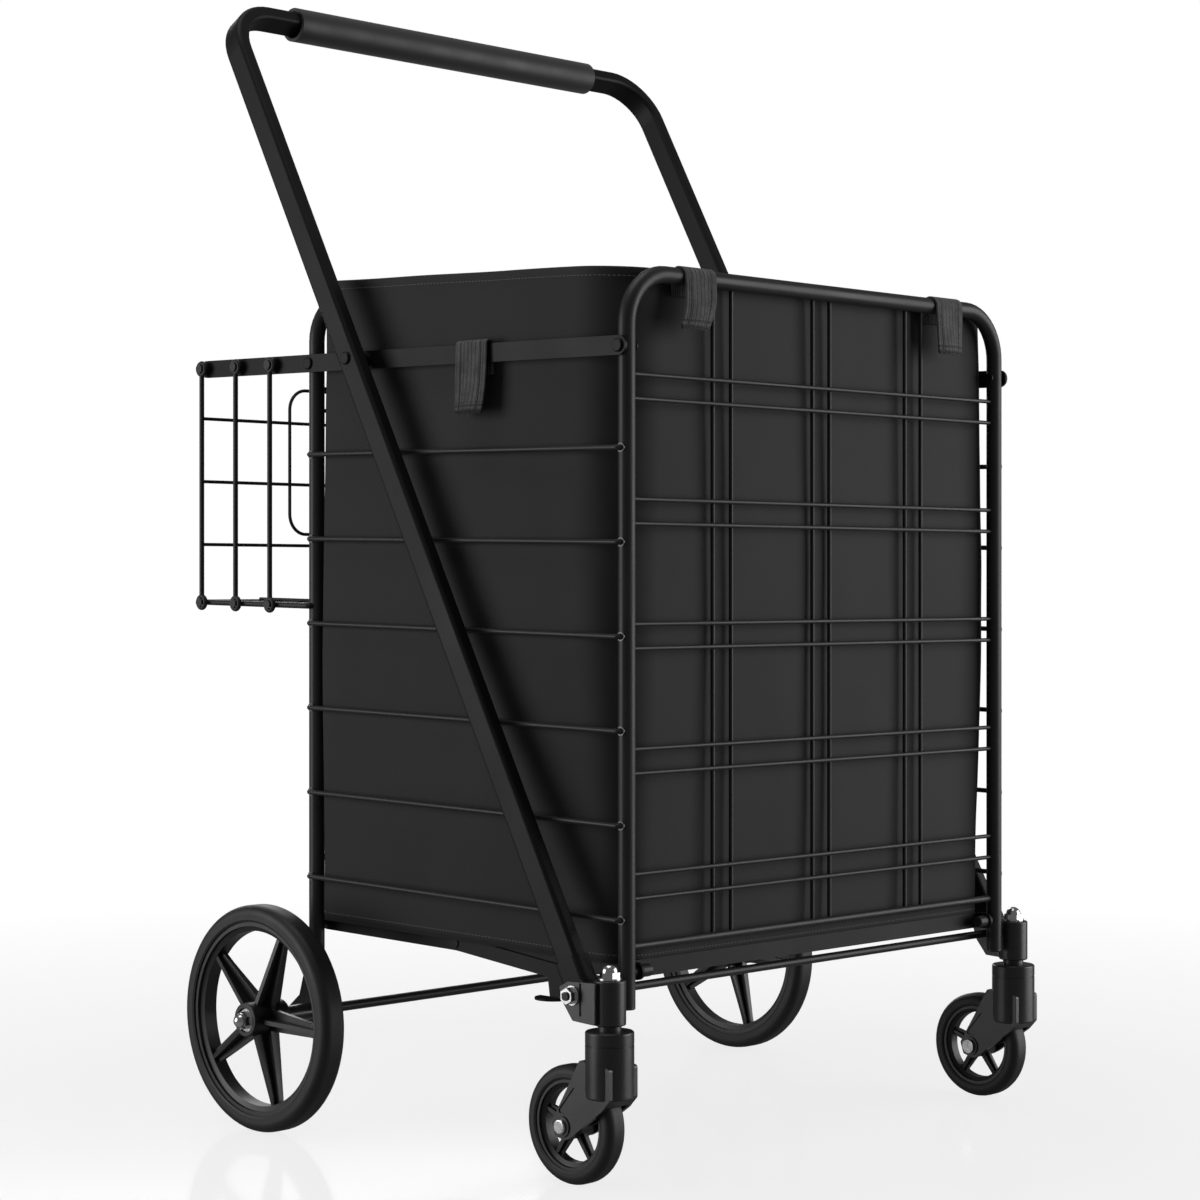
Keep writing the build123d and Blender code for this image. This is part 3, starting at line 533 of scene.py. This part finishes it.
def bagHem(y):
    # the hem hangs a little over the bars of the platform
    share = (y - bagLow.y) / (bagHigh.y - bagLow.y)
    return mix(deckLow.z + deckBar, deckHigh.z, share) - liner["hemOver"]


def bagPoint(index, level, proud=0.0):
    # level is 0 at the hem and 1 at the rim
    if level < 0.5:
        radius = mix(liner["cornerHem"], liner["cornerMiddle"], ease(level / 0.5))
        wider = mix(liner["hemOut"], liner["middleOut"], ease(level / 0.5))
    else:
        radius = mix(liner["cornerMiddle"], liner["cornerTop"], ease((level - 0.5) / 0.5))
        wider = mix(liner["middleOut"], liner["mouthOut"], ease((level - 0.5) / 0.5))
    halfX = bagHigh.x + wider
    yFront, yBack = bagLow.y, bagHigh.y + liner["rearOut"]
    x, y, out = bagOutline(index, halfX, yFront, yBack, radius)
    share = (y - yFront) / (yBack - yFront)
    start = liner["latchRoom"] if x < 0 else 0.0
    spread = mix(start, liner["rearSpread"], share) * (1 - ease(level / 0.5)) + liner["rearMore"] * share
    x *= 1 + spread / halfX
    swell = math.sin(math.pi * level) ** 0.8
    bulge = 0.0
    if abs(out[0]) > 0.99:
        bulge = 0.5 * liner["bulge"] * math.sin(math.pi * (y - yFront) / (yBack - yFront)) * swell
    elif abs(out[1]) > 0.99:
        bulge = liner["bulge"] * math.cos(math.pi * x / (2 * halfX)) * swell
    z = mix(bagHem(y), bagTop(y), level)
    wave = noise.noise(Vector((9 * x, 9 * y, 5 * z)))  # wide folds, then small creases
    wave += 0.45 * noise.noise(Vector((26 * x, 26 * y, 15 * z + 7)))
    calm = ease(level / 0.10) * (1 - 0.6 * ease((level - 0.9) / 0.1))
    shift = bulge + liner["folds"] * wave * calm * (1.0 if abs(out[0]) > 0.5 else 0.55) + proud
    rim = liner["rimWave"] * noise.noise(Vector((7 * x, 7 * y, 3))) * ease((level - 0.9) / 0.1)
    return Vector((x + out[0] * shift, y + out[1] * shift, z + rim)), Vector((out[0], out[1], 0))


def makeBag():
    tall = bagHigh.z - bagLow.z
    middle = Vector((0, (bagLow.y + bagHigh.y) / 2, 0))
    seamLevel = (deckHigh.z + liner["floorRise"] - bagHem(0)) / (bagTop(0) - bagHem(0))
    floorRows = []
    for share in (0.04, 0.3, 0.6, 0.85, 0.945):  # floor rings, from the middle outwards
        ring = []
        for j in range(bagColumns):
            edge, _ = bagPoint(j, 0.0)
            flat = middle + (Vector((edge.x, edge.y, 0)) - middle) * share
            ring.append(Vector((flat.x, flat.y, bagLow.z + liner["floorUp"])))
        floorRows.append(ring)
    inner = floorRows[-1]
    for share in (0.5, 1.0):  # up inside the wall, where the floor is sewn on
        ring = []
        for j in range(bagColumns):
            edge, out = bagPoint(j, seamLevel)
            ring.append(inner[j].lerp(edge - out * (liner["wall"] + 0.1 * mm), share))
        floorRows.append(ring)
    run = [0.0]
    for j in range(bagColumns):
        a, _ = bagPoint(j, 1.0)
        b, _ = bagPoint(j + 1, 1.0)
        run.append(run[-1] + (b - a).length)

    def floorUvs(i, j):
        p = floorRows[i][j % bagColumns]
        return p.x, p.y - 3

    floor = gridPiece("linerFloor", floorRows, floorUvs, materials["linerCloth"], closed=True)
    mesh = bmesh.new()
    mesh.from_mesh(floor.data)
    mesh.verts.ensure_lookup_table()
    mesh.faces.new([mesh.verts[j] for j in range(bagColumns)][::-1])  # the middle of the floor
    bmesh.ops.recalc_face_normals(mesh, faces=mesh.faces[:])
    mesh.to_mesh(floor.data)
    mesh.free()
    useModifier(floor, "SOLIDIFY", thickness=liner["wall"], offset=-1.0)

    hemLevel = 1 - liner["hemHigh"] / tall
    levels = [i / liner["rows"] for i in range(liner["rows"]) if i / liner["rows"] < hemLevel - 0.008]
    levels += [hemLevel - 0.004, hemLevel, hemLevel + 0.003, (1 + hemLevel) / 2, 0.998, 1.0]
    rows = []
    for level in levels:
        proud = liner["hemProud"] if hemLevel <= level < 1.0 else 0.0
        rows.append([bagPoint(j, level, proud)[0] for j in range(bagColumns)])
    piece = gridPiece("linerBag", rows, lambda i, j: (run[j], rows[i][j % bagColumns].z),
                      materials["linerCloth"], closed=True)
    useModifier(piece, "SOLIDIFY", thickness=liner["wall"], offset=-1.0)
    deselect()
    floor.select_set(True)
    piece.select_set(True)
    bpy.context.view_layer.objects.active = piece
    bpy.ops.object.join()
    area = sum(f.area for f in piece.data.polygons) / 2
    return piece, area


bag, bagArea = makeBag()
print(f"liner bag made, {bagArea:.2f} square metres of cloth")


def bagLine(level, proud):
    line = []
    for j in range(bagColumns + 1):
        p, out = bagPoint(j, level, proud)
        line.append((p, out))
    return line


tall = bagHigh.z - bagLow.z
bagStitches = stitches("linerStitches", [
    bagLine(1 - 0.8 * liner["hemHigh"] / tall, liner["hemProud"]),
    bagLine(liner["lowSeam"] / tall, 0.0),
], materials["linerThread"])

for piece in (bag, bagStitches):
    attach(piece, "rear_frame")
    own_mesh(piece)
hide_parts("liner_bag")


# straps: a band that goes up outside, over the frame and down inside to the liner
def bandPath(outside, inside, lean, half, topFlat=0.0):
    # points (s, z) from the free tip, over the top at z = 0, to the sewn end; s grows inwards
    path = []
    steps, bend = strap["straightSteps"], strap["bendSteps"]
    for i in range(steps):
        t = i / steps
        path.append((-half - lean * (1 - t) ** 2, mix(outside, 0, t)))
    radius = half - topFlat / 2
    for i in range(bend + 1):
        angle = math.pi * i / bend
        path.append((-half * math.cos(angle), radius * math.sin(angle)))
    for i in range(1, steps + 1):
        path.append((half, mix(0, inside, i / steps)))
    return path


def makeStrap(name, body, origin, inward, sideways, path, seed):
    across, wide, sway = strap["across"], strapWide, strap["sway"][name]
    random.seed(seed)
    phase = random.uniform(0, 9)
    rows, distances = [], [0.0]
    for (s0, z0), (s1, z1) in zip(path, path[1:]):
        distances.append(distances[-1] + math.hypot(s1 - s0, z1 - z0))
    for i, (s, z) in enumerate(path):
        row = []
        free = max(0.0, 1 - distances[i] / strap["free"])
        for j in range(across + 1):
            w = j / across - 0.5
            cup = strap["cup"] * math.cos(2 * math.pi * w) * free
            twist = strap["twist"] * w * free * math.sin(phase)
            wave = strap["ripple"] * noise.noise(Vector((60 * w * wide, 40 * distances[i], phase)))
            lift = -(cup + twist + wave + strap["off"])
            width = wide * (1 + 0.02 * math.sin(60 * distances[i] + phase))
            aside = w * width + sway * free * free
            point = origin + inward * (s + lift) + Vector((0, 0, z)) + sideways * aside
            row.append(point)
        rows.append(row)

    def uvs(i, j):
        return j / across * wide, distances[i]

    band = gridPiece(name, rows, uvs, materials["strapWebbing"])
    useModifier(band, "SOLIDIFY", thickness=strap["thick"], offset=0.0)

    def surfacePoint(i, w):
        n = min(max(i, 1), len(rows) - 2)
        if i < strap["straightRows"]:
            column = (w / wide + 0.5) * across
            j = min(int(column), across - 1)
            p = rows[i][j].lerp(rows[i][j + 1], column - j)
        else:
            j = across // 2
            p = rows[i][0].lerp(rows[i][across], w / wide + 0.5)
        out = (rows[n + 1][j] - rows[n - 1][j]).cross(sideways).normalized()
        if i < strap["straightRows"] and out.dot(inward) > 0:  # the free stretch shows its seam
            out = -out
        return p + out * (strap["thick"] / 2), out

    seamLines = []
    for w in (-strap["seam"], strap["seam"]):
        seamLines.append([surfacePoint(i, w) for i in range(1, strap["seamRows"])])
    low = next(i for i, d in enumerate(distances) if d >= strap["hemUp"])
    seamLines.append([surfacePoint(low, w * wide) for w in (-0.46, -0.3, -0.15, 0, 0.15, 0.3, 0.46)])
    sewn = stitches(name + "Stitches", seamLines, materials["strapThread"], 0.9)
    # hooked tape behind the free end
    tapeRows = []
    for i in range(strap["tapeRows"]):
        row = []
        for j in range(1, across):
            p = rows[i][j] + inward * (strap["thick"] * 0.5 + strap["tapeGap"])
            drop = strap["tapeDrop"] if i == 0 else 0.0
            ragged = strap["tapeRagged"] * math.sin(2.1 * j + phase) if i == 0 else 0.0
            row.append(p - Vector((0, 0, drop + ragged)))
        tapeRows.append(row)
    tape = gridPiece(name + "Tape", tapeRows, lambda i, j: (j / across * wide, distances[i]),
                     materials["strapThread"])
    useModifier(tape, "SOLIDIFY", thickness=strap["tapeThick"], offset=0.0)
    for piece in (band, sewn, tape):
        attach(piece, body)
    return band


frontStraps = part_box("straps_front")
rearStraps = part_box("straps_rear")
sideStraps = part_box("straps_side")
strapWide = sideStraps[1].y - sideStraps[0].y
strapX = frontStraps[1].x - strapWide / 2
strapHalf = tubeR + strap["clear"]
alongX, alongY = Vector((1, 0, 0)), Vector((0, 1, 0))

for side, tag in ((-1, "Left"), (1, "Right")):
    path = bandPath(frontStraps[0].z - frontTop, -strap["frameInside"], strap["lean"]["strapFront"],
                    strapHalf)
    band = makeStrap("strapFront" + tag, "front_frame",
                     Vector((side * strapX, frontY, frontTop)), alongY, alongX, path, 11 + side)
    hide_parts("straps_front")
    path = bandPath(rearStraps[0].z - rearTop, -strap["frameInside"], strap["lean"]["strapRear"], strapHalf)
    band = makeStrap("strapRear" + tag, "rear_frame",
                     Vector((side * strapX, rearY, rearTop)), -alongY, alongX, path, 21 + side)
    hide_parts("straps_rear")
    bar = "top_bar_" + tag.lower()
    innerX = abs(centre(bar).x) - strap["barInner"]
    half = (sideStraps[1].x - strap["barOuter"] - innerX) / 2
    bend = strap["barRound"]
    path = bandPath(sideStraps[0].z - sideStraps[1].z + 2 * mm, -strap["barInside"],
                    strap["lean"]["strapSide"], half, 2 * half - 2 * bend)
    middleY = (sideStraps[0].y + sideStraps[1].y) / 2
    band = makeStrap("strapSide" + tag, "top_bars", Vector((side * (innerX + half), middleY,
                     sideStraps[1].z - bend)), Vector((-side, 0, 0)), alongY, path, 31 + side)
    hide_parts("straps_side")
print("straps made")

# foam grip: a tube with rounded ends and a small slot below
grip = {"sides": 64, "wall": 3.6 * mm, "endRound": 1.6 * mm, "ringStep": 18 * mm,
        "slotX": 102 * mm, "slotLong": 11 * mm, "slotWide": 4 * mm, "slotRim": 0.5 * mm,
        "slotDeep": 2.2 * mm}


def makeGrip():
    low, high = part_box("handle_grip")
    middle = (low + high) / 2
    radius = (high.z - low.z) / 2
    deselect()
    bpy.ops.mesh.primitive_cylinder_add(vertices=grip["sides"], radius=radius, depth=high.x - low.x,
                                        end_fill_type="NOTHING", location=middle,
                                        rotation=(0, math.pi / 2, 0))
    piece = bpy.context.object
    piece.name = "foamGrip"
    bpy.ops.object.transform_apply(location=True, rotation=True, scale=True)
    step = grip["ringStep"]
    cuts = [low.x + step * i for i in range(1, int((high.x - low.x) / step))]
    cuts += [grip["slotX"] - grip["slotLong"] / 2, grip["slotX"] + grip["slotLong"] / 2]
    bpy.ops.object.mode_set(mode="EDIT")
    for x in sorted(cuts):
        bpy.ops.mesh.select_all(action="SELECT")
        bpy.ops.mesh.bisect(plane_co=(x, middle.y, middle.z), plane_no=(1, 0, 0))
    bpy.ops.mesh.select_all(action="DESELECT")
    mesh = bmesh.from_edit_mesh(piece.data)
    for face in mesh.faces:  # the slot is pressed in from below
        c = face.calc_center_median()
        under = c.z < middle.z and abs(c.y - middle.y) < grip["slotWide"] / 2
        face.select = under and abs(c.x - grip["slotX"]) < grip["slotLong"] / 2
    bmesh.update_edit_mesh(piece.data)
    bpy.ops.mesh.inset(thickness=grip["slotRim"])
    bpy.ops.mesh.extrude_region_move(TRANSFORM_OT_translate={"value": (0, 0, grip["slotDeep"])})
    bpy.ops.mesh.select_all(action="DESELECT")
    bpy.ops.object.mode_set(mode="OBJECT")
    useModifier(piece, "SOLIDIFY", thickness=grip["wall"], offset=-1.0)
    useModifier(piece, "BEVEL", width=grip["endRound"], segments=4, limit_method="ANGLE",
                angle_limit=math.radians(60))
    piece.data.materials.append(materials["gripFoam"])
    smooth(piece, math.radians(50))
    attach(piece, "handle")
    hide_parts("handle_grip")


makeGrip()
print("grip made")

# floor, lights and camera
studio = {
    "floor": 0.80, "floorSpan": 6.0, "fadeFrom": 0.55, "fadeTo": 1.9,
    "floorShare": 0.20, "floorRough": 0.12,
    "sky": 0.13, "shown": 1.0,
    "lights": (  # name, place, target, size, power
        ("leftLight", (-2.7, 1.7, 0.8), (0, 0, 0.6), (1.8, 2.0), 48),
        ("rightLight", (2.3, -2.3, 0.9), (0, 0, 0.6), (2.6, 2.4), 75),
        ("topLight", (-0.5, 0.2, 3.4), (0, 0, 0), (2.0, 2.0), 30),
        ("rearLight", (1.6, 3.0, 1.8), (0, 0, 0.5), (2.0, 2.0), 34),
    ),
    "eye": (-2.0874, -2.0404, 0.5491), "turn": -45.467, "lens": 82.45, "shiftY": -0.0131,
}


def makeFloor():
    deselect()
    bpy.ops.mesh.primitive_circle_add(vertices=96, radius=studio["floorSpan"] / 2, fill_type="NGON",
                                      location=(0, 0, cadBox[0].z - 0.2 * mm))
    floor = bpy.context.object
    floor.name = "studioFloor"
    g = shaderGraph("paleFloor")
    place = g.add("ShaderNodeTexCoord", output="Object")
    far = g.add("ShaderNodeVectorMath", {"operation": "LENGTH"}, {0: place}, "Value")
    fade = g.ramp(far, studio["fadeFrom"], studio["fadeTo"], 1 - studio["floorShare"], 1.0)
    shader = g.add("ShaderNodeBsdfPrincipled", None, {
        "Base Color": grey(studio["floor"]) + (1,), "Roughness": studio["floorRough"],
        "Specular IOR Level": 0.35})
    clear = g.add("ShaderNodeBsdfTransparent")
    both = g.add("ShaderNodeMixShader", None, {0: fade, 1: shader, 2: clear})
    g.add("ShaderNodeOutputMaterial", None, {"Surface": both})
    floor.data.materials.append(g.material)


def makeLight(name, place, target, size, power):
    data = bpy.data.lights.new(name, "AREA")
    data.shape = "RECTANGLE"
    data.size, data.size_y = size
    data.energy = power
    light = bpy.data.objects.new(name, data)
    bpy.context.scene.collection.objects.link(light)
    light.location = place
    light.rotation_euler = (Vector(target) - Vector(place)).to_track_quat("-Z", "Y").to_euler()


def makeWorld():
    world = bpy.data.worlds.new("studio")
    bpy.context.scene.world = world
    world.use_nodes = True
    tree = world.node_tree
    tree.nodes.clear()
    path = tree.nodes.new("ShaderNodeLightPath")
    lit = tree.nodes.new("ShaderNodeBackground")
    shown = tree.nodes.new("ShaderNodeBackground")
    both = tree.nodes.new("ShaderNodeMixShader")
    out = tree.nodes.new("ShaderNodeOutputWorld")
    lit.inputs["Strength"].default_value = studio["sky"]
    shown.inputs["Strength"].default_value = studio["shown"]
    lit.inputs["Color"].default_value = (1, 1, 1, 1)
    shown.inputs["Color"].default_value = (1, 1, 1, 1)
    tree.links.new(path.outputs["Is Camera Ray"], both.inputs[0])
    tree.links.new(lit.outputs[0], both.inputs[1])
    tree.links.new(shown.outputs[0], both.inputs[2])
    tree.links.new(both.outputs[0], out.inputs[0])


makeFloor()
makeWorld()
for name, place, target, size, power in studio["lights"]:
    makeLight(name, place, target, size, power)

cameraData = bpy.data.cameras.new("camera")
camera = bpy.data.objects.new("camera", cameraData)
bpy.context.scene.collection.objects.link(camera)
camera.location = studio["eye"]
camera.rotation_euler = (math.radians(90), 0, math.radians(studio["turn"]))
cameraData.sensor_width = 36
cameraData.lens = studio["lens"]
cameraData.shift_y = studio["shiftY"]
bpy.context.scene.camera = camera
bpy.context.scene.view_settings.view_transform = "Standard"
print("studio ready")
